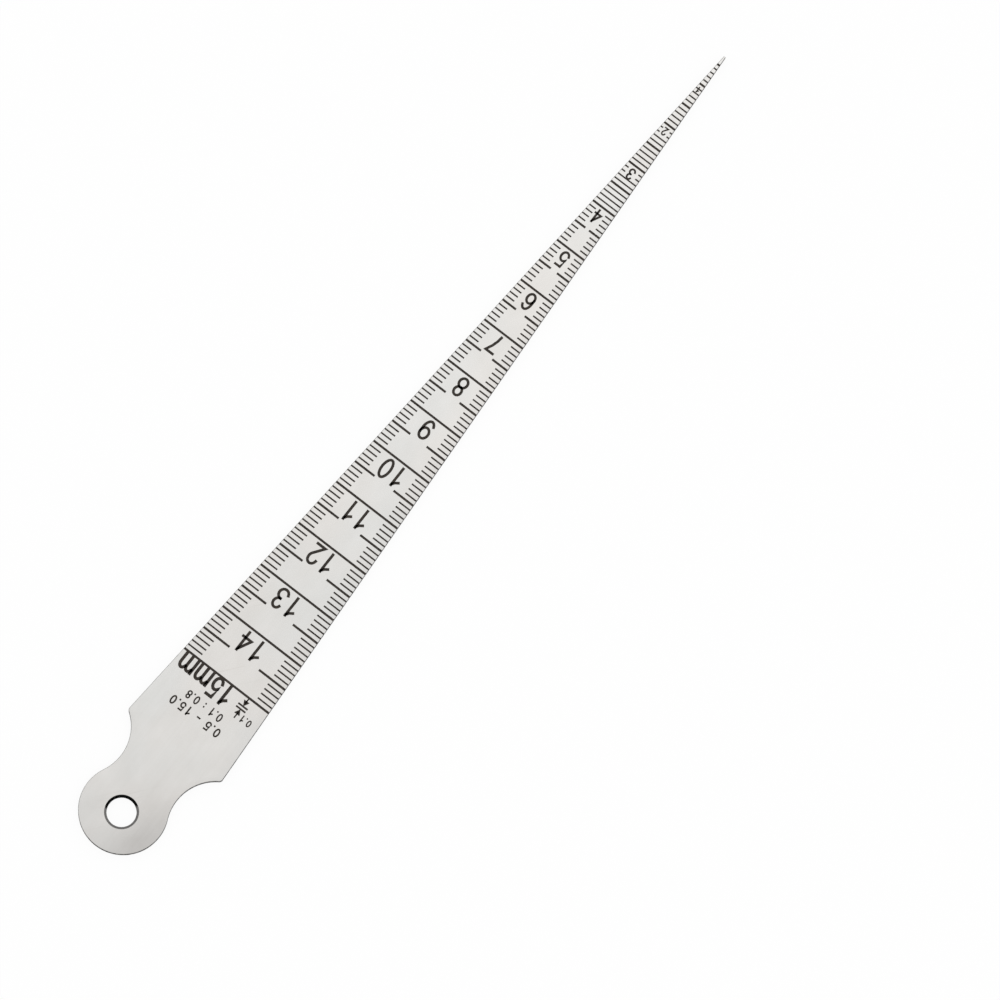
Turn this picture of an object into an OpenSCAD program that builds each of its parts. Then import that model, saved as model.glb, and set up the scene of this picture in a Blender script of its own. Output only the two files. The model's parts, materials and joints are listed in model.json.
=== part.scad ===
// Taper gauge: one flat strip of steel that widens evenly from a blunt tip to its shoulders, with
// a round hanging lug behind them. The blade is pushed into a gap or a hole until it stops, and
// the scale at that place gives the width. A metric scale is etched into the upper face and an
// inch scale into the lower face.
// Millimetres, +Z up. The lower face lies on z = 0, the tip points along +X, and the origin is the
// middle of the lower face.

/* [Blade] */
// Length of blade over which it widens by one millimetre
taper_run = 8; // [6:0.25:12]
// Width across the blunt tip
tip_w = 0.3; // [0.25:0.05:0.5]
// Width across the shoulders
shoulder_w = 16.45; // [16:0.05:20]
// Radius of the two shoulder corners
shoulder_r = 0.6; // [0.2:0.05:1.2]
// Thickness of the steel
blade_t = 1; // [0.8:0.1:2]
// Flat taken off the outline's edges on both faces
edge_break = 0.1; // [0.04:0.01:0.12]

/* [Lug] */
// Width of the neck at its narrowest
neck_w = 10; // [7:0.1:11.5]
// Radius of the hollow on each side of the neck
neck_r = 6.8; // [4:0.1:10]
// Diameter of the lug
lug_d = 12.5; // [11.5:0.1:16]
// Diameter of the hanging hole
hole_d = 4.15; // [3:0.05:7]
// Distance of the hanging hole past the middle of the lug
hole_shift = 0.45; // [0:0.05:0.8]
// Breadth of the flat taken off both rims of the hanging hole
hole_break = 0.34; // [0.05:0.01:0.38]
// Depth of the flat taken off both rims of the hanging hole
hole_fall = 0.24; // [0.04:0.01:0.32]

/* [Etching] */
// Depth of the etched lines
etch_depth = 0.04; // [0.02:0.01:0.08]
// Breadth of the lines at whole and half millimetres
main_line = 0.3; // [0.16:0.02:0.32]
// Breadth of the lines at tenths of a millimetre
tenth_line = 0.2; // [0.1:0.02:0.24]
// Breadth of the lines of the inch scale
inch_line = 0.22; // [0.12:0.02:0.3]

/* [Metric scale] */
// Widest width marked, in whole millimetres
metric_last = 15; // [8:1:15]
// Width, in whole millimetres, up to which the tenths run right across
across_to = 4; // [3:1:6]
// Length of a tenth tick where the blade has no width
tick_base = 0.67; // [0.3:0.01:0.8]
// Length that a tenth tick gains for each millimetre of width
tick_gain = 0.125; // [0.08:0.005:0.16]
// Length that a half tick gains for each millimetre of width
half_gain = 0.273; // [0.2:0.001:0.32]
// Share of the width that a stub beside a small numeral takes on each side
stub_share = 0.21; // [0.15:0.01:0.28]

/* [Inch scale] */
// First width marked, in sixty-fourths of an inch
inch_first = 3; // [2:1:8]
// Widest width marked, in sixty-fourths of an inch
inch_last = 40; // [24:1:40]
// Narrowest width, in sixty-fourths, whose label stands in a gap of its line
label_first = 16; // [12:4:24]
// Gap that a line leaves for its label
label_gap = 5.2; // [4:0.1:6]
// Shortest line left on each side of a label
label_side = 0.9; // [0.4:0.1:1.2]

/* [Hidden] */
$fn = 96;

steel = [0.84, 0.835, 0.82];
inch = 25.4;
// Room by which every cutter runs past the face or edge that it cuts
past = 0.5;
// Blank length, as a width, between the tip and the first tenth
tip_blank = 0.2;
// Tenths beside a small numeral, counted from its own line
numeral_tenths = 2;
// Sixty-fourths between one labelled line and the next
label_step = 4;

// Lengths marked _at run from the point where the two tapered edges would meet, towards the lug
tip_at = taper_run * tip_w;
shoulder_at = taper_run * shoulder_w;
edge_angle = atan(1 / (2 * taper_run));

// Each neck hollow passes through its shoulder, and the lug touches both hollows smoothly
lug_r = lug_d / 2;
neck_y = neck_w / 2 + neck_r;
neck_at = shoulder_at + sqrt(neck_r ^ 2 - (neck_y - shoulder_w / 2) ^ 2);
lug_at = neck_at + sqrt((lug_r + neck_r) ^ 2 - neck_y ^ 2);
hole_at = lug_at + hole_shift;
neck_centre = [neck_at, neck_y];

// The shoulder corner is a circle that touches the tapered edge from inside and the hollow
edge_way = [cos(edge_angle), sin(edge_angle)];
inward = [sin(edge_angle), -cos(edge_angle)];
corner_offset = shoulder_r * inward - neck_centre;
corner_lead = edge_way * corner_offset;
corner_reach = neck_r + shoulder_r;
corner_run = -corner_lead - sqrt(corner_lead ^ 2 - corner_offset * corner_offset + corner_reach ^ 2);
corner_on_edge = corner_run * edge_way;
corner_centre = corner_on_edge + shoulder_r * inward;
corner_on_neck = neck_centre + (corner_centre - neck_centre) * neck_r / corner_reach;

// Overall length, centred on the origin
end_at = lug_at + lug_r;
apex_x = (tip_at + end_at) / 2;

half_outline = [
    [tip_at, tip_w / 2], corner_on_edge, corner_centre, corner_on_neck, neck_centre
];

function mirrored(points) = [for (i = [len(points) - 1 : -1 : 0]) [points[i].x, -points[i].y]];

// Round plate with a flat taken off both rims
module broken_disc(r) {
    rotate_extrude()
        polygon([
            [0, 0], [r - edge_break, 0], [r, edge_break], [r, blade_t - edge_break],
            [r - edge_break, blade_t], [0, blade_t]
        ]);
}

// Round cutter that opens out at both faces and so leaves a flat on the rims that it cuts
module flared_cutter(r, flat, fall) {
    flare = r + flat * (1 + past / fall);
    rotate_extrude()
        polygon([
            [0, -past], [flare, -past], [r, fall], [r, blade_t - fall],
            [flare, blade_t + past], [0, blade_t + past]
        ]);
}

// Bars that take the flats off a straight edge which runs along +X with the steel on its -Y side
module edge_cutters(length) {
    inner = -edge_break - past;
    rise = edge_break + past;
    rotate([90, 0, 90])
        linear_extrude(length) {
            polygon([[inner, -past], [past, -past], [past, rise]]);
            polygon([[inner, blade_t + past], [past, blade_t + past], [past, blade_t - rise]]);
        }
}

// Blade from the tip to the middle of the lug, between the neck hollows
module tapered_blade() {
    difference() {
        linear_extrude(blade_t)
            polygon(concat(half_outline, [[lug_at, 0]], mirrored(half_outline)));
        for (side = [0, 1])
            mirror([0, side, 0]) {
                translate(neck_centre)
                    flared_cutter(neck_r, edge_break, edge_break);
                rotate([0, 0, edge_angle])
                    edge_cutters(shoulder_at + past);
            }
    }
}

module plain_gauge() {
    difference() {
        union() {
            tapered_blade();
            translate([lug_at, 0, 0])
                broken_disc(lug_r);
            for (side = [-1, 1])
                translate([corner_centre.x, side * corner_centre.y, 0])
                    broken_disc(shoulder_r);
        }
        translate([hole_at, 0, 0])
            flared_cutter(hole_d / 2, hole_break, hole_fall);
    }
}

// Line right across the blade where it is w wide
module line_across(w, breadth) {
    translate([taper_run * w, 0])
        square([breadth, w + 2 * past], center = true);
}

// Two lines of one length, one from each edge, where the blade is w wide
module edge_lines(w, breadth, length) {
    for (side = [-1, 1])
        translate([taper_run * w, side * (w / 2 - length / 2 + past / 2)])
            square([breadth, length + past], center = true);
}

module metric_lines() {
    for (tenth = [ceil(10 * (tip_w + tip_blank)) : 10 * metric_last]) {
        w = tenth / 10;
        digit = tenth % 10;
        whole = digit == 0;
        half = digit == 5;
        beside_numeral = digit >= 1 && digit <= numeral_tenths && w > 2;
        breadth = whole || half ? main_line : tenth_line;
        if (whole || (w < across_to && !beside_numeral))
            line_across(w, breadth);
        else if (w < across_to)
            edge_lines(w, breadth, stub_share * w);
        else
            edge_lines(w, breadth, tick_base + (half ? half_gain : tick_gain) * w);
    }
}

module inch_lines() {
    for (count = [inch_first : inch_last]) {
        w = count * inch / 64;
        gap = min(label_gap, w - 2 * label_side);
        if (count >= label_first && count % label_step == 0)
            edge_lines(w, inch_line, (w - gap) / 2);
        else
            line_across(w, inch_line);
    }
}

module gauge_blade() {
    color(steel)
        translate([apex_x, 0, 0])
            rotate([0, 0, 180])
                difference() {
                    plain_gauge();
                    translate([0, 0, blade_t - etch_depth])
                        linear_extrude(etch_depth + past)
                            metric_lines();
                    translate([0, 0, -past])
                        linear_extrude(etch_depth + past)
                            inch_lines();
                }
}

gauge_blade();
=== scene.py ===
# Looks of a flat steel taper gauge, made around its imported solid: a satin blade with rounded edges
# and etched lines, the black in the etching of both faces, and a plain pale stage.
import json
from math import pi, radians
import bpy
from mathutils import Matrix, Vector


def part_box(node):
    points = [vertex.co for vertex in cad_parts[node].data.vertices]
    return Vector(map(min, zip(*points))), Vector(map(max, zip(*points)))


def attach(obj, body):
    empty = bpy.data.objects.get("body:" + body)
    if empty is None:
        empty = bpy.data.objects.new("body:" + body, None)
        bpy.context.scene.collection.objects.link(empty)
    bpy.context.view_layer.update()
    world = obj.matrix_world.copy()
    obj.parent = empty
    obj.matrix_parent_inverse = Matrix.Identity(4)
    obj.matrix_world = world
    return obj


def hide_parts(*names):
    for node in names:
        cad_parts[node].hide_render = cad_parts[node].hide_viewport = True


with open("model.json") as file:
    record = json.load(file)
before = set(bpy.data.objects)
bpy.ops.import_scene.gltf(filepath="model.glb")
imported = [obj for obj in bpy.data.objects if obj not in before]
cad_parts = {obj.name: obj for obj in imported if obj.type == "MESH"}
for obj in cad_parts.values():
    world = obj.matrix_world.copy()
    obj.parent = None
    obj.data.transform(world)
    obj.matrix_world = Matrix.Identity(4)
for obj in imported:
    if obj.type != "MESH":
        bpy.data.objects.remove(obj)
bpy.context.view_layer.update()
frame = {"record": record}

from types import SimpleNamespace

import bpy
import numpy as np
from bpy.props import FloatProperty, FloatVectorProperty, IntProperty, PointerProperty
from mathutils import Matrix, Vector

bl_info = {
    "name": "Taper Gauge Looks",
    "version": (1, 0, 0),
    "blender": (4, 5, 0),
    "location": "3D View > Sidebar > Taper Gauge",
    "description": "Makes a flat taper gauge: blade, etched scales and stage",
    "category": "Object",
}

MM = 0.001
INCH = 25.4 * MM
# Parts of an inch that the inch scale counts
INCH_PARTS = 64
NODE = "gauge_blade"
BODY = "root"
LOW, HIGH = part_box(NODE)
HOLE = next(mount for mount in frame["record"]["mounts"] if mount["name"] == "hang_hole")

# Signs of the two faces: the metric one looks up, the inch one down
UPPER = 1
LOWER = -1

# Attribute with the shade of the steel, 0 on the faces, and its values on the outline's walls (cut steel
# with painted shade), on the flat rims of the hole and on the hole's wall (painted shade)
SHADE = "cut_edge"
OUTLINE_SHADE = 0.6
RIM_SHADE = 1.2
HOLE_SHADE = 2.0
# Shades between which the looks of a wall, of a rim and of the hole's wall set in
WALL_STEP = (0.09, 0.45)
RIM_STEP = (0.62, 0.9)
HOLE_STEP = (1.4, 1.8)
# Direction in the plan from the middle of the hole to the painted shade on its rims, a dark crescent
# on one side, and the cosines of the angle from it between which the painted shade sets in
PAINTED_SHADE_WAY = np.exp(1j * radians(139.0))
PAINTED_SHADE_STARTS = 0.15
PAINTED_SHADE_FULL = 0.45

# Swells of the noises per metre along the blade, across it and through it
GRAIN = (70.0, 3500.0, 3500.0)
PATCHES = (55.0, 90.0, 90.0)
MOTTLE = (260.0, 420.0, 420.0)
SCUFFS = (45.0, 2600.0, 200.0)
SHEAR = (2600.0, 2600.0, 500.0)
WEAR = (2500.0, 2500.0, 2500.0)
# Noise levels between which warm patches, scuffs, the patches they lie in, bare streaks, light
# streaks and worn specks set in
WARM_STEP = (0.35, 0.65)
SCUFF_STEP = (0.66, 0.74)
SCUFFED_STEP = (0.45, 0.6)
BARE_STEP = (0.4, 0.8)
LIGHT_STEP = (0.3, 0.7)
SPECK_STEP = (0.45, 0.8)
# Direction of the mirrored room's darker side, the cosines to it between which the darker and the
# brighter side set in, and the heights between which the dim part near the floor ends
DARK_SIDE = (-0.760, -0.651, 0.0)
DARK_STEP = (0.25, 0.7)
BRIGHT_STEP = (-0.25, -0.85)
HIGH_STEP = (0.1, 0.75)
WHITE = (1.0, 1.0, 1.0, 1.0)
FLOOR_REACH = 3.0

# Steps of the outline's rounding, the power by which its shade rises, and the steps of its arcs
ROUND_STEPS = 6
ROUND_POWER = 0.4
CORNER_STEPS = 12
HOLLOW_STEPS = (25, 13)
LUG_STEPS = 65
# Rows that follow the tip and precede the shoulder, and the least distance between two rows
TIP_ROW = 0.5 * MM
SHOULDER_ROW = 1.0 * MM
LEAST_ROW = 0.003 * MM
# Shares of the half width that the outermost and the innermost column don't pass, and shares of the
# innermost stop at which the last two columns stand
COLUMN_MOST = (0.95, 0.3)
COLUMN_SHARES = (0.5, 0.25)
# Second stop beside a narrow line, in lengths of its stub
STUB_STOP = 1.5
# Rows across a flat rim of the hole, as shares of its breadth from the face
RIM_ROWS = np.array([0.0, 0.06, 0.94, 1.0])
# Distance within which points are made one, and angle past which faces meet in a sharp edge
WELD = 1e-5 * MM
SHARP = radians(12.0)
# Faces of a box with its corners 0 to 3 around the top and 4 to 7 around the foot
BOX = np.array([[0, 1, 2, 3], [7, 6, 5, 4], [0, 4, 5, 1], [1, 5, 6, 2], [2, 6, 7, 3], [3, 7, 4, 0]])
# Ends of a stroke with four corners at each of its points
STROKE_ENDS = np.array([[3, 2, 1, 0], [-4, -3, -2, -1]])
# Least cosine by which the corner of a stroke is spread
LEAST_SPREAD = 0.45

# Width of a digit, space between signs and breadth of a stroke as shares of the height: the numerals,
# whose stroke varies, and the fractions in a gap and on both sides of a line
NUMERAL_STYLE = (0.52, 0.11)
FRACTION_STYLE = (0.56, 0.12, 0.14)
SPLIT_STYLE = (0.56, 0.1, 0.15)
# Words past the last line of a scale, with base line, middle and height in millimetres, and style
METRIC_LABELS = (
    ("15", 0.0, -0.27, 3.38, (0.48, 0.06, 0.135)),
    ("mm", 0.0, 4.33, 3.38, (0.48, 0.06, 0.135)),
    ("0.1", 2.35, -5.63, 1.1, (0.58, 0.14, 0.17)),
    ("0.5 - 15.0", 5.95, 0.33, 1.4, (0.6, 0.17, 0.17)),
    ("0.1 : 0.8", 4.1, 0.2, 1.302, (0.58, 0.14, 0.165)),
)
INCH_LABELS = (
    ("3/64 - 5/8", 0.75, 0.0, 1.5, FRACTION_STYLE),
    ("1/64 : 1/8", 3.2, 0.0, 1.35, FRACTION_STYLE),
    ("1", 6.75, 2.8, 1.4, (0.56, 0.1, 0.14)),
    ("64", 4.85, 2.8, 1.4, (0.56, 0.1, 0.14)),
)
# Strokes in millimetres, as plan points with a breadth at each: the bar of the last fraction, past
# the last line, and the bar, head and shaft of half a division sign, from the sign's middle
FRACTION_BAR = ((6.5 + 1.9j, 6.5 + 3.7j), (0.18, 0.18))
SIGN_BAR = ((0.25 - 0.82j, 0.25 + 0.82j), (0.26, 0.26))
SIGN_HEAD = ((1.15, 0.35), (0.95, 0.1))
METRIC_SHAFT = ((1.8, 0.75), (0.2, 0.2))
INCH_SHAFT = ((2.1, 0.75), (0.2, 0.2))
# Middles of the division signs in millimetres past the last line
METRIC_SIGN = 1.7 - 4.05j
INCH_SIGN = 6.5 - 1.8j


def length(name, description, mm):
    """Length property, given in millimetres."""
    return FloatProperty(name=name, description=description, default=mm * MM, unit="LENGTH", precision=5)


def point(name, description, mm):
    """Point property, given in millimetres."""
    return FloatVectorProperty(name=name, description=description, default=[part * MM for part in mm],
                               size=3, subtype="TRANSLATION", unit="LENGTH")


def angle(name, description, degrees):
    """Angle property, given in degrees."""
    return FloatProperty(name=name, description=description, default=radians(degrees), subtype="ANGLE")


def number(name, description, default):
    """Plain number property."""
    return FloatProperty(name=name, description=description, default=default, precision=4)


def count(name, description, default):
    """Whole number property."""
    return IntProperty(name=name, description=description, default=default)


def colour(name, description, default):
    """Linear colour property."""
    return FloatVectorProperty(name=name, description=description, default=default, size=3,
                               subtype="COLOR", min=0.0, max=1.0)


class BladeSizes(bpy.types.PropertyGroup):
    """Outline of the blade, the same as the solid's."""
    taper_run: number("Taper run", "Length over which the blade widens by one unit", 8.0)
    tip_w: length("Tip width", "Width of the blunt tip", 0.3)
    shoulder_w: length("Shoulder width", "Width across the shoulders", 16.45)
    shoulder_r: length("Shoulder radius", "Radius of the shoulder corners", 0.6)
    neck_w: length("Neck width", "Least width of the neck", 10.0)
    neck_r: length("Neck radius", "Radius of the neck's hollows", 6.8)
    lug_d: length("Lug diameter", "Diameter of the lug", 12.5)
    hole_r: length("Hole radius", "Radius of the hanging hole", HOLE["dims"]["r_mm"])
    hole_break: length("Hole break", "Breadth of the hole's flat rims", 0.34)
    hole_fall: length("Hole fall", "Depth of the hole's flat rims", 0.24)
    edge_round: length("Edge rounding", "Radius along the outline", 0.1)
    face_drop: length("Face drop", "Depth of the steel under the solid's faces", 0.012)


class ScaleSizes(bpy.types.PropertyGroup):
    """Etched lines of the two scales, the same as the solid's, the black in them and the numerals."""
    etch_depth: length("Etch depth", "Depth of the lines", 0.04)
    flank: length("Flank", "Breadth of the slope at a line's edges", 0.02)
    main_line: length("Main line", "Breadth at whole and half millimetres", 0.3)
    tenth_line: length("Tenth line", "Breadth at the other tenths", 0.2)
    inch_line: length("Inch line", "Breadth on the inch face", 0.22)
    metric_first: count("First tenth", "First tenth of a millimetre marked", 5)
    metric_last: count("Last tenth", "Last tenth of a millimetre marked", 150)
    across_to: count("Across up to", "Tenth up to which lines run right across", 40)
    stub_past: count("Stubs past", "Tenth past which stubs stand beside numerals", 20)
    stub_tenths: count("Stub tenths", "Tenths beside a numeral that are stubs", 2)
    stub_share: number("Stub share", "Share of the width that a stub takes", 0.21)
    tick_base: length("Tick base", "Length of a tick at no width", 0.67)
    tick_gain: number("Tick gain", "Gain of a tenth tick with the width", 0.125)
    half_gain: number("Half gain", "Gain of a half tick with the width", 0.273)
    inch_first: count("First sixty-fourth", "First sixty-fourth of an inch marked", 3)
    inch_last: count("Last sixty-fourth", "Last sixty-fourth of an inch marked", 40)
    label_step: count("Label step", "Sixty-fourths from one label to the next", 4)
    split_first: count("First split label", "First label on both sides of its line", 8)
    label_first: count("First label in a gap", "First label that breaks its line", 16)
    label_gap: length("Label gap", "Gap in a line for its label", 5.2)
    label_side: length("Label side", "Least line on each side of a label", 0.9)
    fill_drop: length("Fill drop", "Depth of the black under the steel face", 0.005)
    fill_foot: length("Fill foot", "Depth of the black's foot", 0.048)
    fill_clear: length("Fill clearance", "Gap from the black to the blade's edge", 0.035)
    top_drop: length("Top drop", "Depth of the tops under the solid's faces", 0.001)
    foot_drop: length("Foot drop", "Depth of the feet under the steel faces", 0.02)
    numeral_h: length("Numeral height", "Height that the numerals grow towards", 3.42)
    numeral_reach: length("Numeral reach", "Width at three quarters of that height", 4.6)
    numeral_least: length("Least numeral", "Height of the smallest numeral", 1.0)
    numeral_gap: length("Numeral gap", "Gap from a line's middle to its numeral", 0.44)
    numeral_shift: length("Numeral shift", "Shift of the numerals across the blade", 0.05)
    wide_first: count("First wide numeral", "First numeral that is shifted further", 11)
    wide_shift: length("Wide shift", "Shift from that numeral on", 0.25)
    stroke: number("Stroke", "Breadth of a stroke as a share of the height", 0.12)
    stroke_gain: number("Stroke gain", "Share that small numerals' strokes gain", 0.5)
    stroke_least: length("Least stroke", "Least breadth of a numeral's strokes", 0.19)
    label_h: length("Label height", "Height of the inch fractions", 1.5)
    label_drop: length("Label drop", "Distance of their middles from their lines", 0.25)
    split_h: length("Split height", "Height of the numbers on both sides of a line", 1.28)
    split_gap: length("Split gap", "Gap from a line's middle to such a number", 0.5)


class Looks(bpy.types.PropertyGroup):
    """Colours and patterns of the steel and of the black."""
    steel: colour("Steel", "Satin faces", (0.661, 0.657, 0.641))
    steel_warm: colour("Warm steel", "Warmer patches of the faces", (0.669, 0.651, 0.627))
    # Colour of the painted darker reflection on the lug's end
    steel_dull: colour("Dull steel", "Handled lug", (0.520, 0.506, 0.490))
    # Dark colour of the side walls: cut steel darkened with painted shade
    cut_edge: colour("Cut edge", "Cut side walls", (0.060, 0.058, 0.056))
    # Nearly black colour of the hole's wall and most of its rims: painted shade of the hole
    cut_hole: colour("Cut hole", "Punched wall of the hole", (0.004, 0.004, 0.004))
    black: colour("Black", "Black in the etching", (0.022, 0.017, 0.0125))
    grain: number("Grain", "Strength of the lengthwise grain", 0.08)
    patches: number("Patches", "Strength of the broad patches", 0.14)
    mottle: number("Mottle", "Strength of the small mottle", 0.17)
    scuffs: number("Scuffs", "Strength of the slanting scuffs", 0.08)
    scuff_turn: angle("Scuff turn", "Turn of the scuffs from the blade's length", 38.0)
    # Where along the blade and across the lug the painted darker reflection sets in, and its least share
    # on the lug's other side
    dull_starts: length("Dull starts", "Where along the blade the handled end starts", -58.0)
    dull_full: length("Dull full", "Where along the blade it is fully handled", -70.0)
    side_starts: length("Side starts", "Where across the lug its dull side starts", 2.0)
    side_full: length("Side full", "Where across the lug its dull side is full", -6.0)
    dull_least: number("Least dullness", "Share of dullness on its other side", 0.2)
    roughness: number("Roughness", "Roughness of the satin faces", 0.36)
    rim_bare: number("Bare rim", "Share of bare steel on the hole's rims", 0.3)
    rim_smooth: number("Smooth rim", "Roughness that the hole's rims lack", 0.2)
    wall_bare: number("Bare wall", "Share of bare steel in wall streaks", 0.3)
    wall_light: number("Light wall", "Lightness of light streaks against dark ones", 1.8)
    black_worn: number("Worn black", "Lightness of worn specks against the black", 2.2)


class StageSizes(bpy.types.PropertyGroup):
    """Camera, light and floor."""
    lens: number("Lens", "Focal length of the camera in millimetres", 144.0)
    distance: length("Distance", "Distance from camera to target", 566.948)
    azimuth: angle("Azimuth", "Direction from target to camera", -167.051)
    elevation: angle("Elevation", "Height of the camera above the target", 76.595)
    roll: angle("Roll", "Turn of the camera about its own axis", 24.990)
    target: point("Target", "Point that the camera looks at", (0.162, -14.352, 1.0))
    world_light: number("World light", "Strength of the even light all round", 1.0)
    dark_side: number("Dark side", "Light that one side of the mirrored room lacks", 0.15)
    bright_side: number("Bright side", "Light that its other side adds", 0.5)
    dim_horizon: number("Dim horizon", "Light that it lacks near the floor", 0.3)
    key_light: number("Key light", "Power of the soft light in watts", 0.17)
    key_size: length("Key size", "Diameter of the soft light", 400.0)
    key_place: point("Key place", "Middle of the soft light", (370.0, 120.0, 850.0))
    floor_glow: number("Floor glow", "Share of plain white in the seen floor", 0.93)


class Wire:
    """Output of a node tree: arithmetic on it adds Math nodes, and node() adds any other."""

    def __init__(self, tree, socket=None):
        self.tree = tree
        self.socket = socket

    def node(self, kind, values=None, output=0, **settings):
        """Adds a shader node: its settings, then the values or links of its inputs."""
        made = self.tree.nodes.new("ShaderNode" + kind)
        for name, value in settings.items():
            setattr(made, name, value)
        for key, value in (values or {}).items():
            if isinstance(value, Wire):
                self.tree.links.new(value.socket, made.inputs[key])
            else:
                made.inputs[key].default_value = value
        return Wire(self.tree, made.outputs[output] if len(made.outputs) else None)

    def math(self, operation, *values):
        """Adds one Math node."""
        return self.node("Math", dict(enumerate(values)), operation=operation)

    def __add__(self, other):
        return self.math("ADD", self, other)

    def __sub__(self, other):
        return self.math("SUBTRACT", self, other)

    def __rsub__(self, other):
        return self.math("SUBTRACT", other, self)

    def __mul__(self, other):
        return self.math("MULTIPLY", self, other)

    def larger(self, other):
        """The larger of two values."""
        return self.math("MAXIMUM", self, other)

    def step(self, start, end):
        """Smooth step from 0 at start to 1 at end."""
        return self.node("MapRange", {"Value": self, "From Min": start, "From Max": end},
                         interpolation_type="SMOOTHSTEP")

    def blend(self, first, second):
        """Mix of two colours, with this value as the share of the second."""
        return self.node("Mix", {0: self, 6: first, 7: second}, 2, data_type="RGBA")

    def noise(self, per_metre, detail=2.0, roughness=0.5):
        """Noise on this vector, with its swells per metre along each axis."""
        moved = self.node("Mapping", {"Vector": self, "Scale": per_metre})
        return self.node("TexNoise",
                         {"Vector": moved, "Scale": 1.0, "Detail": detail, "Roughness": roughness})

    def swing(self, strength):
        """This noise about its mean, times a strength."""
        return (self - 0.5) * strength


def new_tree(owner):
    """Clears the node tree of a material or a world."""
    owner.use_nodes = True
    owner.node_tree.nodes.clear()
    return Wire(owner.node_tree)


def opaque(rgb, lightness=1.0):
    """Colour times a lightness, with full alpha."""
    return (*[lightness * part for part in rgb], 1.0)


def face_colour(place, grain, patches, looks):
    """Colour of the faces: steel with warm patches, darker towards the lug's end and one side of it as a
    painted darker reflection, under the patterns.
    """
    along, across = [place.node("SeparateXYZ", {0: place}, axis) for axis in (0, 1)]
    # Painted darker reflection: the lug's end is darker, most on one side
    side = across.step(looks.side_starts, looks.side_full) * (1.0 - looks.dull_least) + looks.dull_least
    lug_shade = along.step(looks.dull_starts, looks.dull_full) * side
    warm = patches.step(*WARM_STEP).blend(opaque(looks.steel), opaque(looks.steel_warm))
    slant = place.node("VectorRotate", {"Vector": place, "Angle": looks.scuff_turn},
                       rotation_type="Z_AXIS")
    scuffs = slant.noise(SCUFFS, detail=1.0).step(*SCUFF_STEP) * patches.step(*SCUFFED_STEP)
    swings = grain.swing(looks.grain) + patches.swing(looks.patches)
    mid_grey = place.noise(MOTTLE).swing(looks.mottle) + swings - scuffs * looks.scuffs + 0.5
    steel = lug_shade.blend(warm, opaque(looks.steel_dull))
    return place.node("Mix", {0: 0.6, 6: steel, 7: mid_grey}, 2, data_type="RGBA", blend_type="OVERLAY")


def steel_material(looks):
    """Satin steel that turns into cut steel where its shade rises.

    The side walls are dark, partly with painted shade, with lighter and bare streaks. The hole is
    nearly black with painted shade, its rims with a share of bare polished steel.
    """
    material = bpy.data.materials.new("satin_steel")
    tree = new_tree(material)
    place = tree.node("TexCoord", output="Object")
    shade = tree.node("Attribute", output="Fac", attribute_name=SHADE)
    grain = place.noise(GRAIN, detail=3.0, roughness=0.6)
    patches = place.noise(PATCHES)
    shear = place.noise(SHEAR)
    # hole: the hole's rims and wall, nearly black with painted shade; rim: where the rims keep some bare
    # steel
    hole = shade.step(*RIM_STEP)
    rim = hole - shade.step(*HOLE_STEP)
    bare = shear.step(*BARE_STEP) * (1.0 - hole) * looks.wall_bare
    cut = shade.step(*WALL_STEP) * (1.0 - bare) - rim * looks.rim_bare
    light = opaque(looks.cut_edge, looks.wall_light)
    wall = shear.step(*LIGHT_STEP).blend(opaque(looks.cut_edge), light)
    rough = grain.swing(0.12) + patches.swing(0.10) - rim * looks.rim_smooth + looks.roughness
    satin = tree.node("BsdfPrincipled", {
        "Base Color": face_colour(place, grain, patches, looks),
        "Metallic": 1.0,
        "Roughness": rough,
        "Normal": tree.node("Bump", {"Strength": 0.04, "Distance": 0.02 * MM, "Height": grain}),
    })
    sawn = tree.node("BsdfPrincipled", {
        "Base Color": hole.blend(wall, opaque(looks.cut_hole)),
        "Roughness": 0.8,
        "Specular IOR Level": 0.0,
    })
    shader = tree.node("MixShader", {0: cut, 1: satin, 2: sawn})
    tree.node("OutputMaterial", {"Surface": shader})
    return material


def black_material(looks):
    """Matt black of the etching, a little worn in small specks."""
    material = bpy.data.materials.get("etch_black")
    if material:
        return material
    material = bpy.data.materials.new("etch_black")
    tree = new_tree(material)
    place = tree.node("TexCoord", output="Object")
    worn = place.noise(WEAR, detail=3.0, roughness=0.6)
    speck = opaque(looks.black, looks.black_worn)
    shader = tree.node("BsdfPrincipled", {
        "Base Color": worn.step(*SPECK_STEP).blend(opaque(looks.black), speck),
        "Roughness": worn.swing(0.3) + 0.55,
        "Specular IOR Level": 0.25,
    })
    tree.node("OutputMaterial", {"Surface": shader})
    return material


def joined(*parts, axis=0):
    """Arrays joined along an axis."""
    return np.concatenate(parts, axis)


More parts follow.
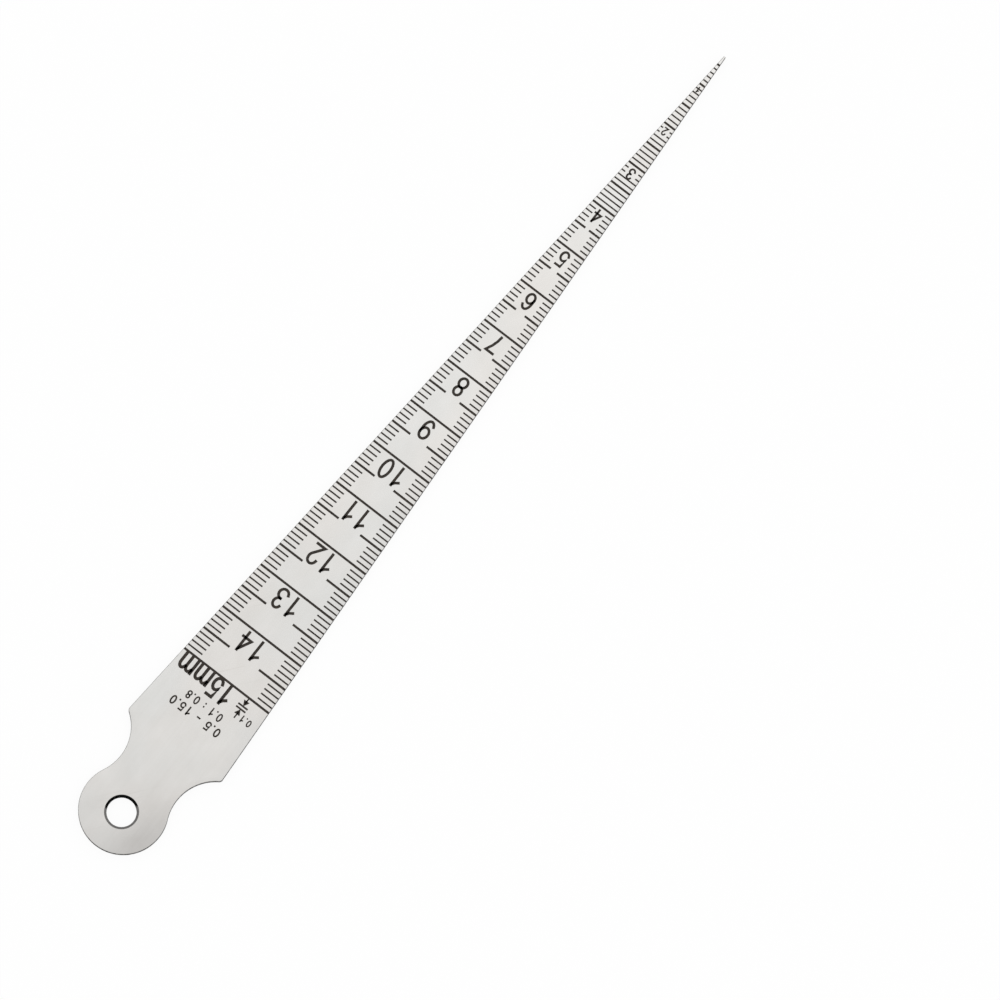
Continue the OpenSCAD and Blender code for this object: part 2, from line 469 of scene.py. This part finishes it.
def blade_plan(size):
    """Gives the main points of half the outline.

    A point of the plan is a complex number. Its real part runs along the blade from where the two
    tapered edges would meet, and its imaginary part runs across the blade. The shoulder corner is
    a circle that touches the tapered edge from inside and the hollow of the neck from outside.
    """
    edge_way = np.exp(1j * np.arctan(0.5 / size.taper_run))
    inward = -1j * edge_way
    lug_r = size.lug_d / 2
    neck_y = size.neck_w / 2 + size.neck_r
    past = np.sqrt(size.neck_r ** 2 - (neck_y - size.shoulder_w / 2) ** 2)
    neck = size.taper_run * size.shoulder_w + past + 1j * neck_y
    lug = neck.real + np.sqrt((lug_r + size.neck_r) ** 2 - neck_y ** 2)
    offset = size.shoulder_r * inward - neck
    lead = (offset * edge_way.conjugate()).real
    reach = size.neck_r + size.shoulder_r
    run = -lead - np.sqrt(lead ** 2 - abs(offset) ** 2 + reach ** 2)
    tip = size.taper_run * size.tip_w
    apex_x = (tip + lug + lug_r) / 2
    return SimpleNamespace(
        edge_way=edge_way, inward=inward, tip=tip, run=run, neck=neck, lug=lug, lug_r=lug_r,
        corner=run * edge_way + size.shoulder_r * inward, apex_x=apex_x, hole=apex_x - HOLE["pos_m"][0],
    )


def placed(plan, flat, height):
    """Turns plan points and heights into positions, with the tip towards +x."""
    flat, height = np.broadcast_arrays(flat, height)
    return np.stack([plan.apex_x - flat.real, flat.imag, height], axis=-1).reshape(-1, 3)


def solid_level(side):
    """Height of one of the solid's faces."""
    return HIGH.z if side == UPPER else LOW.z


def steel_level(side, size):
    """Height of one of the steel faces, which lie a little inside the solid's."""
    return solid_level(side) - side * size.face_drop


def metric_marks(size, scale):
    """Lines of the metric scale: where they lie, how broad they are and how far in they reach.

    Stops are the two places across the blade where ticks may end beside a line.
    """
    tenths = np.arange(scale.metric_first, scale.metric_last + 1)
    width = tenths * 0.1 * MM
    digit = tenths % 10
    whole = digit == 0
    half = digit == 5
    narrow = tenths < scale.across_to
    beside = (digit >= 1) & (digit <= scale.stub_tenths) & (tenths > scale.stub_past)
    across = whole | (narrow & ~beside)
    tick = np.where(narrow, scale.stub_share * width, scale.tick_base + scale.tick_gain * width)
    tick_half = np.where(narrow, STUB_STOP * tick, scale.tick_base + scale.half_gain * width)
    inner = width / 2 - np.where(half, tick_half, tick)
    return SimpleNamespace(
        at=size.taper_run * width, width=width, whole=whole,
        breadth=np.where(whole | half, scale.main_line, scale.tenth_line),
        inner=np.where(across, 0.0, inner),
        stops=np.stack([width / 2 - tick, width / 2 - tick_half], axis=1),
    )


def inch_marks(size, scale):
    """Lines of the inch scale, in the same form as those of the metric scale."""
    steps = np.arange(scale.inch_first, scale.inch_last + 1)
    width = steps * INCH / INCH_PARTS
    gap = np.minimum(scale.label_gap, width - 2 * scale.label_side)
    on_step = steps % scale.label_step == 0
    labelled = on_step & (steps >= scale.label_first)
    split = on_step & (steps >= scale.split_first) & ~labelled
    stop = np.where(labelled, gap / 2, width / 4)
    return SimpleNamespace(
        at=size.taper_run * width, width=width, steps=steps, labelled=labelled, split=split,
        breadth=np.full(len(steps), scale.inch_line),
        inner=np.where(labelled, gap / 2, 0.0),
        stops=np.stack([stop, stop / 2], axis=1),
    )


def nearest_mark(marks, fore):
    """Number of the line that is nearest to each row."""
    return np.abs(marks.at[None, :] - fore[:, None]).argmin(axis=1)


def etched(marks, scale, fore, across):
    """Share of the etch depth at rows and columns: 1 in a line, 0 beside it, even on its flanks."""
    nearest = nearest_mark(marks, fore)
    off = np.abs(fore - marks.at[nearest])
    along = np.clip((marks.breadth[nearest] / 2 + scale.flank - off) / scale.flank, 0.0, 1.0)
    inner = marks.inner[nearest][:, None]
    reach = np.clip((np.abs(across) - inner) / scale.flank + 1.0, 0.0, 1.0)
    return along[:, None] * np.where(inner > 0, reach, 1.0)


def face_columns(marks, scale, border, in_tail):
    """Positions across a face at each row, from its left border to its right one.

    Beside the borders and the axis they lie at the inner ends of the ticks, on both sides of the
    flank there. Rows of the tail have even columns instead, the same on both faces.
    """
    half = border.imag[:, None]
    stops = marks.stops[nearest_mark(marks, border.real)]
    tick, inmost = stops[:, :1], stops[:, 1:]
    wish = joined(tick, tick - scale.flank, inmost, inmost - scale.flank,
                  inmost * np.array(COLUMN_SHARES), axis=1)
    even = np.linspace(1.0, 0.0, wish.shape[1] + 2)[1:-1]
    most = np.linspace(*COLUMN_MOST, wish.shape[1])
    inside = np.where(in_tail[:, None], half * even, np.minimum(wish, half * most))
    right = joined(half, inside, axis=1)
    return joined(-right, np.zeros_like(half), right[:, ::-1], axis=1)


def rounding(radius):
    """Quarter circle from a face to a wall: inset from the wall, drop from the face, shade."""
    turn = np.linspace(0.0, pi / 2, ROUND_STEPS)
    drop = 1 - np.cos(turn)
    return radius * (1 - np.sin(turn)), radius * drop, OUTLINE_SHADE * drop ** ROUND_POWER


def side_wall(border, normal, size, heights):
    """Wall along a border from the upper face to the lower one: plan points, heights and shades.

    Its section has a quarter circle at both ends. It stays between the heights of the faces there,
    so it follows a line that runs over the edge.
    """
    inset, drop, shade = rounding(size.edge_round)
    out = border[:, None] + normal[:, None] * (size.edge_round - inset)
    upper = np.minimum(steel_level(UPPER, size) - drop, heights[UPPER])
    lower = np.maximum(steel_level(LOWER, size) + drop, heights[LOWER])
    wall = joined(out, out[:, ::-1], axis=1)
    return wall, joined(upper, lower[:, ::-1], axis=1), joined(shade, shade[::-1])


def edge_border(plan, size, scale, scales):
    """Border of the faces along the tapered edge, inside it by the rounding.

    Its rows are the four sides of every line of both scales, where the flanks start and end.
    """
    lead = size.edge_round * plan.inward.real
    first = plan.tip + lead
    last = plan.run * plan.edge_way.real + lead
    rows = [[first, first + TIP_ROW, last - SHOULDER_ROW]]
    for marks in scales:
        half = marks.breadth / 2
        rows += [marks.at + side for side in (-half - scale.flank, -half, half, half + scale.flank)]
    fore = np.sort(joined(*rows))
    fore = fore[joined([True], np.diff(fore) > LEAST_ROW)]
    return fore + 1j * (fore * 0.5 / size.taper_run - size.edge_round / plan.edge_way.real)


def arc(centre, radius, start, end, steps, side):
    """Points round a circle from one angle to another, and their normals."""
    way = np.exp(1j * np.linspace(start, end, steps))
    return np.stack([centre + radius * way, side * way])


def tail_border(plan, size):
    """Border of the faces from the tapered edge to the end of the lug, its normals and the seam's row.

    Three arcs follow each other: the shoulder corner, the hollow of the neck, which is split at
    its narrowest point, the seam, and the lug. The border lies inside them by the rounding.
    """
    to_neck = np.angle(plan.neck - plan.corner)
    to_lug = np.angle(plan.lug - plan.neck)
    fore_steps, back_steps = HOLLOW_STEPS
    corner = arc(plan.corner, size.shoulder_r, np.angle(-plan.inward), to_neck, CORNER_STEPS, 1)
    fore_hollow = arc(plan.neck, size.neck_r, to_neck - pi, -pi / 2, fore_steps, -1)
    back_hollow = arc(plan.neck, size.neck_r, -pi / 2, to_lug, back_steps, -1)
    lug = arc(plan.lug, plan.lug_r, to_lug + pi, 0.0, LUG_STEPS, 1)
    follow = [part[:, 1:] for part in (fore_hollow, back_hollow, lug)]
    points, normals = joined(corner, *follow, axis=1)
    return points - size.edge_round * normals, normals, CORNER_STEPS + fore_steps - 2


def strip(rows, columns, closed=False, looped=False):
    """Four-cornered faces of a grid of points that are numbered row by row.

    A closed grid joins its last column to its first, and a looped one its last row.
    """
    grid = np.arange(rows * columns).reshape(rows, columns)
    if closed:
        grid = joined(grid, grid[:, :1], axis=1)
    if looped:
        grid = joined(grid, grid[:1])
    return np.stack([grid[:-1, :-1], grid[:-1, 1:], grid[1:, 1:], grid[1:, :-1]], axis=-1).reshape(-1, 4)


class Skin:
    """Collects grids of plan points with heights and shades, and welds them into one mesh."""

    def __init__(self, plan):
        self.plan = plan
        self.points = []
        self.shades = []
        self.faces = []
        self.total = 0

    def grid(self, flat, height, shade, closed=False, flip=False):
        """Adds a grid of points and the faces between them."""
        faces = self.total + strip(*flat.shape, closed)
        self.faces.append(faces[:, ::-1] if flip else faces)
        self.points.append(placed(self.plan, flat, height))
        self.shades.append(np.broadcast_to(shade, flat.shape).reshape(-1))
        self.total += flat.size

    def welded(self):
        """Points, shades and faces with coinciding points made one, and the points' new numbers."""
        points = joined(*self.points)
        keys = np.round(points / WELD).astype(np.int64)
        _, first, index = np.unique(keys, axis=0, return_index=True, return_inverse=True)
        index = index.reshape(-1)
        return points[first], joined(*self.shades)[first], index[joined(*self.faces)], index


def add_hole(skin, plan, size, around):
    """Adds what lies between a closed line around the hole and the hole.

    Each row starts at a point of that line and keeps its direction from the middle of the hole: the
    face, the flat rim, which has painted shade on one side, and the straight wall.
    """
    way = (around - plan.hole) / np.abs(around - plan.hole)
    inset = size.hole_break * (1 - RIM_ROWS)
    drop = size.hole_fall * RIM_ROWS
    rim = plan.hole + (size.hole_r + inset) * way[:, None]
    # Painted shade: the rims turn nearly black on one side of the hole
    painted_shade = ((way * PAINTED_SHADE_WAY.conjugate()).real - PAINTED_SHADE_STARTS) / (PAINTED_SHADE_FULL - PAINTED_SHADE_STARTS)
    flat = RIM_SHADE + (HOLE_SHADE - RIM_SHADE) * np.clip(painted_shade, 0.0, 1.0)
    shade = np.stack([np.zeros_like(flat), flat, flat, np.full_like(flat, HOLE_SHADE)], axis=1)
    ring = np.stack([around, rim[:, 0]], axis=1)
    for side in (UPPER, LOWER):
        skin.grid(ring, steel_level(side, size), 0.0, flip=side == UPPER)
    bore = joined(rim, rim[:, ::-1], axis=1)
    upper = steel_level(UPPER, size) - drop
    lower = steel_level(LOWER, size) + drop
    bore_shade = joined(shade, shade[:, ::-1], axis=1)
    skin.grid(bore, joined(upper, lower[::-1]), bore_shade, flip=True)


def blade_skin(size, scale):
    """Closed skin of the blade: its points, shades and faces, and the corners of the flat tip.

    From the tip to the seam in the neck a closed section is carried along the blade: the two
    faces, whose height falls by the etch depth in each line, and two walls with rounded edges.
    Behind the seam two walls follow the outline, and the faces reach from the border to the hole.
    """
    plan = blade_plan(size)
    marks = {UPPER: metric_marks(size, scale), LOWER: inch_marks(size, scale)}
    edge = edge_border(plan, size, scale, marks.values())
    tail, tail_normal, seam = tail_border(plan, size)
    border = joined(edge, tail[:seam + 1])
    normal = joined(np.full(len(edge), -plan.inward), tail_normal[:seam + 1])
    in_tail = np.arange(len(border)) >= len(edge)

    face, height, ends = {}, {}, {}
    for side, lines in marks.items():
        across = face_columns(lines, scale, border, in_tail)
        depth = scale.etch_depth * etched(lines, scale, border.real, across)
        face[side] = border.real[:, None] + 1j * across
        height[side] = steel_level(side, size) - side * depth
        ends[side] = height[side][:, -1:]
    wall, wall_z, wall_shade = [part[..., 1:-1] for part in side_wall(border, normal, size, ends)]
    plain = np.zeros(face[UPPER].shape[1])
    section = joined(face[UPPER], wall, face[LOWER][:, ::-1], wall[:, ::-1].conj(), axis=1)
    section_z = joined(height[UPPER], wall_z, height[LOWER][:, ::-1], wall_z[:, ::-1], axis=1)
    skin = Skin(plan)
    skin.grid(section, section_z, joined(plain, wall_shade, plain, wall_shade), closed=True)

    behind = tail[seam:]
    level = {side: np.full((1, 1), steel_level(side, size)) for side in marks}
    wall, wall_z, wall_shade = side_wall(behind, tail_normal[seam:], size, level)
    skin.grid(wall, wall_z, wall_shade)
    skin.grid(wall.conj(), wall_z, wall_shade, flip=True)
    add_hole(skin, plan, size, joined(face[UPPER][-1], behind[1:], behind[-2::-1].conj()))

    points, shades, faces, index = skin.welded()
    return np.clip(points, LOW, HIGH), shades, faces, index[:section.shape[1]]


def add_piece(name, points, faces, material, replaced=None):
    """Makes a mesh piece that rides on the part's one body."""
    mesh = bpy.data.meshes.new(name)
    mesh.from_pydata(points.tolist(), [], faces)
    mesh.materials.append(material)
    piece = bpy.data.objects.new(name, mesh)
    bpy.context.scene.collection.objects.link(piece)
    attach(piece, BODY)
    if replaced:
        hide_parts(replaced)
    return piece


def line_fill(plan, marks, scale, size, side):
    """Boxes of black in the lines: one for a line right across, two for a pair of ticks."""
    across = marks.inner == 0
    ticks = ~across
    at, inner, breadth, outer = [
        joined(part[across], part[ticks], part[ticks])
        for part in (marks.at, marks.inner, marks.breadth, marks.width / 2 - scale.fill_clear)
    ]
    pair = np.repeat([0, 1, 2], [across.sum(), ticks.sum(), ticks.sum()])
    left = np.where(pair == 2, inner, -outer)
    right = np.where(pair == 1, -inner, outer)
    half = (breadth + scale.flank) / 2
    fore = np.stack([at - half, at + half, at + half, at - half], axis=1)
    top = fore + 1j * np.stack([left, left, right, right], axis=1)
    levels = steel_level(side, size) - side * np.array([scale.fill_drop, scale.fill_foot])
    points = placed(plan, joined(top, top, axis=1), np.repeat(levels, 4))
    box = BOX if side == LOWER else BOX[:, ::-1]
    starts = np.arange(len(at)) * 8
    return points, (starts[:, None, None] + box).reshape(-1, 4)


def bow(centre, reach, start, end, steps=14):
    """Part of an ellipse from one angle to another, in degrees."""
    turn = np.radians(np.linspace(start, end, steps))
    return centre + reach.real * np.cos(turn) + 1j * reach.imag * np.sin(turn)


def oval(centre, reach, start, steps=20):
    """Whole ellipse from an angle in degrees, up to the step before it closes."""
    return bow(centre, reach, start, start + 360 - 360 / steps, steps)


def path(*points):
    """Straight strokes through points."""
    return np.array(points, dtype=complex)


def capped(points, reach):
    """Lengthens both ends of an open stroke."""
    way = np.array([points[0] - points[1], points[-1] - points[-2]])
    way = reach * way / np.abs(way)
    return joined([points[0] + way[0]], points[1:-1], [points[-1] + way[1]])


def glyph_table():
    """Strokes of each sign in a box one unit wide and high: width share, open strokes, closed ones."""
    six_bow = joined(bow(0.53 + 0.55j, 0.53 + 0.45j, 35, 180, 12), path(0.30j))
    six_ring = oval(0.5 + 0.30j, 0.5 + 0.30j, 180)
    arches = [joined(bow(middle + 0.49j, 0.23 + 0.25j, 160, 0, 9), path(middle + 0.23))
              for middle in (0.27, 0.77)]
    return {
        "0": (1.0, [], [oval(0.5 + 0.5j, 0.5 + 0.5j, 90)]),
        "1": (1.0, [path(0.60, 0.60 + 1j), path(0.57 + 0.94j, 0.38 + 0.81j, 0.07 + 0.71j)], []),
        "2": (1.0, [joined(bow(0.5 + 0.72j, 0.48 + 0.28j, 172, -38), path(0.02, 1.0))], []),
        "3": (1.0, [bow(0.48 + 0.7525j, 0.44 + 0.2475j, 160, -90),
                    bow(0.48 + 0.2525j, 0.52 + 0.2525j, 90, -165)], []),
        "4": (1.0, [path(0.74, 0.74 + 1j), path(0.71 + 0.94j, 0.30j, 1.04 + 0.30j)], []),
        "5": (1.0, [joined(path(0.94 + 1j, 0.18 + 1j, 0.07 + 0.49j),
                           bow(0.48 + 0.31j, 0.52 + 0.31j, 138, -160))], []),
        "6": (1.0, [six_bow], [six_ring]),
        "7": (1.0, [path(1j, 1.0 + 1j, 0.62 + 0.62j, 0.42 + 0.30j, 0.33)], []),
        "8": (1.0, [], [oval(0.5 + 0.755j, 0.44 + 0.245j, 90, 18), oval(0.5 + 0.265j, 0.5 + 0.265j, 90)]),
        "9": (1.0, [1 + 1j - six_bow], [1 + 1j - six_ring]),
        "/": (0.5, [path(0.0, 1.0 + 1j)], []),
        ".": (0.05, [path(0.5, 0.5 + 0.02j)], []),
        "-": (0.6, [path(0.38j, 1.0 + 0.38j)], []),
        ":": (0.05, [path(0.5 + 0.1j, 0.5 + 0.12j), path(0.5 + 0.6j, 0.5 + 0.62j)], []),
        "m": (1.75, [path(0.0, 0.74j), *arches], []),
        " ": (0.45, [], []),
    }


GLYPHS = glyph_table()


def stroke_section(flat, breadth, closed):
    """Four corners at each point of a stroke, on the line that halves the corner there."""
    before = flat[-1:] if closed else 2 * flat[:1] - flat[1:2]
    after = flat[:1] if closed else 2 * flat[-1:] - flat[-2:-1]
    way = np.diff(joined(before, flat, after))
    way = way / np.abs(way)
    mean = way[:-1] + way[1:]
    mean = mean / np.abs(mean)
    spread = np.maximum((mean * way[1:].conj()).real, LEAST_SPREAD)
    offset = 1j * mean * breadth / 2 / spread
    return np.stack([flat + offset, flat - offset, flat - offset, flat + offset], axis=1)


class Writing:
    """Collects the strokes on one face and turns them into thin slabs of black."""

    def __init__(self, side):
        self.side = side
        self.strokes = []

    def put(self, points, breadth, closed=False):
        """Adds a stroke, with its points given along and across the blade as that face is read."""
        self.strokes.append((points if self.side == UPPER else points.conj(), breadth, closed))

    def text(self, words, fore, middle, height, style):
        """Sets words on a base line at fore, centred on middle."""
        digit, space, breadth = height * np.array(style)
        wide = digit - breadth
        signs = [GLYPHS[sign] for sign in words]
        advance = np.array([share * wide + breadth + space for share, lines, rings in signs])
        starts = middle + np.cumsum(advance) - advance - (advance.sum() - space) / 2
        for start, (share, lines, rings) in zip(starts, signs):
            corner = fore + breadth / 2 + 1j * (start + breadth / 2)
            laid = [corner + points.imag * (height - breadth) + 1j * points.real * share * wide
                    for points in lines + rings]
            for points in laid[:len(lines)]:
                self.put(capped(points, breadth / 2), breadth)
            for points in laid[len(lines):]:
                self.put(points, breadth, closed=True)

    def labels(self, rows, last):
        """Sets the labels past the last line."""
        for words, fore, middle, height, style in rows:
            self.text(words, last + fore * MM, middle * MM, height * MM, style)

    def slabs(self, plan, levels):
        """Points and faces of a slab for each stroke, between the levels of top and foot."""
        points, faces, total = [], [], 0
        for flat, breadth, closed in self.strokes:
            section = stroke_section(flat, breadth, closed)
            quads = strip(*section.shape, closed=True, looped=closed)
            if not closed:
                quads = joined(quads, STROKE_ENDS % section.size)
            points.append(placed(plan, section, np.repeat(levels, 2)))
            faces.append(total + quads)
            total += section.size
        faces = joined(*faces)
        return joined(*points), faces if self.side == LOWER else faces[:, ::-1]


def division_sign(writing, middle, way, shaft):
    """Two arrows along a direction that point at two short bars from outside."""
    for turn in (way, -way):
        for points, breadths in (SIGN_BAR, SIGN_HEAD, shaft):
            writing.put(middle + turn * path(*points) * MM, np.array(breadths) * MM)


def metric_writing(marks, scale):
    """Numerals of the metric face, each on the wide side of its line, and the labels."""
    writing = Writing(UPPER)
    for at, width in zip(marks.at[marks.whole][:-1], marks.width[marks.whole][:-1]):
        value = round(width / MM)
        grown = np.tanh(width / scale.numeral_reach)
        height = max(scale.numeral_h * grown, scale.numeral_least)
        shift = scale.wide_shift if value >= scale.wide_first else scale.numeral_shift
        stroke = max(scale.stroke * (1 + scale.stroke_gain * (1 - grown)), scale.stroke_least / height)
        writing.text(str(value), at + scale.numeral_gap, shift, height, (*NUMERAL_STYLE, stroke))
    last = marks.at[-1]
    writing.labels(METRIC_LABELS, last)
    division_sign(writing, last + METRIC_SIGN * MM, 1.0, METRIC_SHAFT)
    return writing


def fraction(steps):
    """Numerator and denominator of a number of sixty-fourths in lowest terms."""
    shared = np.gcd(steps, INCH_PARTS)
    return str(steps // shared), str(INCH_PARTS // shared)


def inch_writing(marks, scale):
    """Fractions of the inch face, in the gap of their line or on both sides of it, and the labels."""
    writing = Writing(LOWER)
    for at, steps in zip(marks.at[marks.labelled], marks.steps[marks.labelled]):
        fore = at - scale.label_h / 2 - scale.label_drop
        writing.text("/".join(fraction(steps)), fore, 0.0, scale.label_h, FRACTION_STYLE)
    for at, steps in zip(marks.at[marks.split], marks.steps[marks.split]):
        base_lines = (at + scale.split_gap, at - scale.split_gap - scale.split_h)
        for words, fore in zip(fraction(steps), base_lines):
            writing.text(words, fore, 0.0, scale.split_h, SPLIT_STYLE)
    last = marks.at[-1]
    writing.labels(INCH_LABELS, last)
    points, breadths = FRACTION_BAR
    writing.put(last + path(*points) * MM, np.array(breadths) * MM)
    division_sign(writing, last + INCH_SIGN * MM, 1j, INCH_SHAFT)
    return writing


class SatinBlade(bpy.types.Operator):
    """Make the steel blade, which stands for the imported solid."""
    bl_idname = "taper_gauge.satin_blade"
    bl_label = "Satin Blade"

    def execute(self, context):
        scene = context.scene
        points, shades, faces, tip = blade_skin(scene.gauge_blade, scene.gauge_scale)
        piece = add_piece("satin_blade", points, faces.tolist() + [tip[::-1].tolist()],
                          steel_material(scene.gauge_looks), NODE)
        mesh = piece.data
        attribute = mesh.attributes.new(SHADE, "FLOAT", "POINT")
        attribute.data.foreach_set("value", shades.astype(np.float32))
        mesh.polygons.foreach_set("use_smooth", np.ones(len(mesh.polygons), dtype=bool))
        mesh.set_sharp_from_angle(angle=SHARP)
        return {"FINISHED"}


def add_scale(scene, side, name, marks_of, writing_of):
    """Makes the black in one face's lines, and its numerals with their feet a little in the steel."""
    size, scale = scene.gauge_blade, scene.gauge_scale
    plan = blade_plan(size)
    marks = marks_of(size, scale)
    material = black_material(scene.gauge_looks)
    levels = solid_level(side) - side * np.array([scale.top_drop, size.face_drop + scale.foot_drop])
    pieces = {
        "_line_fill": line_fill(plan, marks, scale, size, side),
        "_numerals": writing_of(marks, scale).slabs(plan, levels),
    }
    for ending, (points, faces) in pieces.items():
        add_piece(name + ending, points, faces.tolist(), material)


class MetricScale(bpy.types.Operator):
    """Fill the lines and set the numerals of the metric face."""
    bl_idname = "taper_gauge.metric_scale"
    bl_label = "Metric Scale"

    def execute(self, context):
        add_scale(context.scene, UPPER, "metric", metric_marks, metric_writing)
        return {"FINISHED"}


class InchScale(bpy.types.Operator):
    """Fill the lines and set the fractions of the inch face."""
    bl_idname = "taper_gauge.inch_scale"
    bl_label = "Inch Scale"

    def execute(self, context):
        add_scale(context.scene, LOWER, "inch", inch_marks, inch_writing)
        return {"FINISHED"}


def seen_rays(tree):
    """1 for what the camera sees, also in mirrors and through glass, and 0 for the lighting."""
    camera, glossy, through = [tree.node("LightPath", output=name)
                               for name in ("Is Camera Ray", "Is Glossy Ray", "Is Transmission Ray")]
    return camera.larger(glossy).larger(through)


def floor_material(glow):
    """White floor that keeps a part of the object's shadow and can't be seen from below."""
    material = bpy.data.materials.new("pale_floor")
    tree = new_tree(material)
    matt = tree.node("BsdfDiffuse", {"Color": (0.9, 0.9, 0.9, 1.0)})
    white = tree.node("Emission", {"Color": WHITE, "Strength": 1.0})
    lit = tree.node("MixShader", {0: seen_rays(tree) * glow, 1: matt, 2: white})
    under = tree.node("NewGeometry", output="Backfacing")
    clear = tree.node("BsdfTransparent")
    both = tree.node("MixShader", {0: under, 1: lit, 2: clear})
    tree.node("OutputMaterial", {"Surface": both})
    return material


def studio_world(stage):
    """Even white light all round, seen as plain white behind the object.

    What the steel mirrors is a room that is dim near the floor, a little darker on one side and
    brighter on the other.
    """
    world = bpy.data.worlds.new("studio")
    tree = new_tree(world)
    glossy = tree.node("LightPath", output="Is Glossy Ray")
    way = tree.node("TexCoord", output="Generated")
    side = tree.node("VectorMath", {0: way, 1: DARK_SIDE}, "Value", operation="DOT_PRODUCT")
    high = tree.node("SeparateXYZ", {0: way}, 2).step(*HIGH_STEP)
    bright = side.step(*BRIGHT_STEP) * high
    dark = side.step(*DARK_STEP)
    room = bright * stage.bright_side - dark * stage.dark_side - (1.0 - high) * stage.dim_horizon
    level = seen_rays(tree) * (1.0 - stage.world_light) + glossy * room + stage.world_light
    light = tree.node("Background", {"Color": WHITE, "Strength": level})
    tree.node("OutputWorld", {"Surface": light})
    return world


def add_floor(scene, glow):
    """Makes the floor on which the object lies."""
    ends = (-FLOOR_REACH, FLOOR_REACH)
    corners = [(x, y, LOW.z) for x in ends for y in ends]
    mesh = bpy.data.meshes.new("floor")
    mesh.from_pydata(corners, [], [(0, 2, 3, 1)])
    mesh.materials.append(floor_material(glow))
    floor = bpy.data.objects.new("floor", mesh)
    scene.collection.objects.link(floor)


def add_key(scene, stage):
    """Makes the soft round light, which faces the origin."""
    lamp = bpy.data.lights.new("key", "AREA")
    lamp.shape = "DISK"
    lamp.size = stage.key_size
    lamp.energy = stage.key_light
    key = bpy.data.objects.new("key", lamp)
    place = Vector(stage.key_place)
    key.matrix_world = Matrix.Translation(place) @ place.to_track_quat("Z", "Y").to_matrix().to_4x4()
    scene.collection.objects.link(key)


def add_camera(scene, stage):
    """Makes the camera, which looks at its target and is rolled about its own axis."""
    lens = bpy.data.cameras.new("camera")
    lens.sensor_width = 36.0
    lens.lens = stage.lens
    lens.clip_start = 0.01
    camera = bpy.data.objects.new("camera", lens)
    place = Matrix.Translation(stage.target)
    for turn, axis in ((stage.azimuth + pi / 2, "Z"), (pi / 2 - stage.elevation, "X"), (stage.roll, "Z")):
        place = place @ Matrix.Rotation(turn, 4, axis)
    camera.matrix_world = place @ Matrix.Translation((0.0, 0.0, stage.distance))
    scene.collection.objects.link(camera)
    scene.camera = camera


class Stage(bpy.types.Operator):
    """Make the floor, the light and the camera."""
    bl_idname = "taper_gauge.stage"
    bl_label = "Stage"

    def execute(self, context):
        scene = context.scene
        stage = scene.gauge_stage
        add_floor(scene, stage.floor_glow)
        scene.world = studio_world(stage)
        add_key(scene, stage)
        add_camera(scene, stage)
        scene.view_settings.view_transform = "Standard"
        return {"FINISHED"}


class GaugePanel(bpy.types.Panel):
    """Lists the steps that make the gauge."""
    bl_idname = "TAPERGAUGE_PT_steps"
    bl_label = "Taper Gauge"
    bl_space_type = "VIEW_3D"
    bl_region_type = "UI"
    bl_category = "Taper Gauge"

    def draw(self, context):
        for step in STEPS:
            self.layout.operator(step.bl_idname)


GROUPS = {
    "gauge_blade": BladeSizes,
    "gauge_scale": ScaleSizes,
    "gauge_looks": Looks,
    "gauge_stage": StageSizes,
}
STEPS = (SatinBlade, MetricScale, InchScale, Stage)
CLASSES = (*GROUPS.values(), *STEPS, GaugePanel)


def register():
    for made in CLASSES:
        bpy.utils.register_class(made)
    for name, group in GROUPS.items():
        setattr(bpy.types.Scene, name, PointerProperty(type=group))


def unregister():
    for name in GROUPS:
        delattr(bpy.types.Scene, name)
    for made in reversed(CLASSES):
        bpy.utils.unregister_class(made)


def main():
    """Makes every piece and the stage."""
    register()
    bpy.ops.taper_gauge.satin_blade()
    bpy.ops.taper_gauge.metric_scale()
    bpy.ops.taper_gauge.inch_scale()
    bpy.ops.taper_gauge.stage()


if __name__ == "__main__":
    main()
